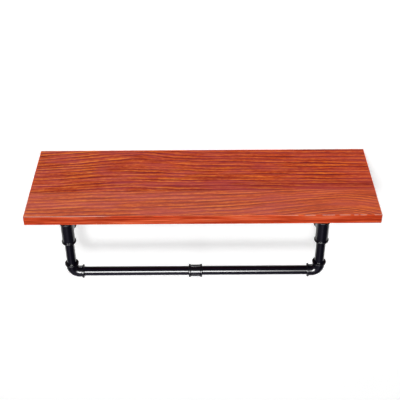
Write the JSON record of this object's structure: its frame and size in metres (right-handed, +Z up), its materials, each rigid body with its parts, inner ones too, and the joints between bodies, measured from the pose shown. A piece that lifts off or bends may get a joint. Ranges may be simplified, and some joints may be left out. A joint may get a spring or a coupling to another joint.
{
  "type": "pipe shelf with rail",
  "caption": "Wood-finish wall shelf on black threaded-pipe brackets, with a horizontal hanging rail below its front edge.",
  "frame": {"origin": "on the wall plane, midway between the two wall flanges and level with their centres", "axes": "+X to the right for someone facing the wall, -Y out of the wall towards the room, +Z up"},
  "size_m": [0.762, 0.254, 0.2067],
  "materials": {
    "wood_print_laminate": "red-brown wood-print melamine, satin",
    "wood_print_edge": "red-brown wood-print edge band, satin",
    "particle_board": "raw particle board, matt",
    "black_pipe": "gloss black paint on steel pipe",
    "black_fitting": "gloss black paint on malleable iron",
    "black_screw": "black oxide steel, semi-gloss"
  },
  "bodies": {
    "root": {"board_core": "particle_board", "top_laminate": "wood_print_laminate", "bottom_laminate": "wood_print_laminate", "front_edge_band": "wood_print_edge", "back_edge_band": "wood_print_edge", "left_edge_band": "wood_print_edge", "right_edge_band": "wood_print_edge", "wall_flange_left": "black_fitting", "wall_pipe_left": "black_pipe", "tee_left": "black_fitting", "close_nipple_left": "black_pipe", "shelf_flange_left": "black_fitting", "shelf_screws_left": "black_screw", "drop_pipe_left": "black_pipe", "elbow_left": "black_fitting", "rail_pipe_left": "black_pipe", "wall_flange_right": "black_fitting", "wall_pipe_right": "black_pipe", "tee_right": "black_fitting", "close_nipple_right": "black_pipe", "shelf_flange_right": "black_fitting", "shelf_screws_right": "black_screw", "drop_pipe_right": "black_pipe", "elbow_right": "black_fitting", "rail_pipe_right": "black_pipe", "rail_coupling": "black_fitting"}
  },
  "joints": []
}
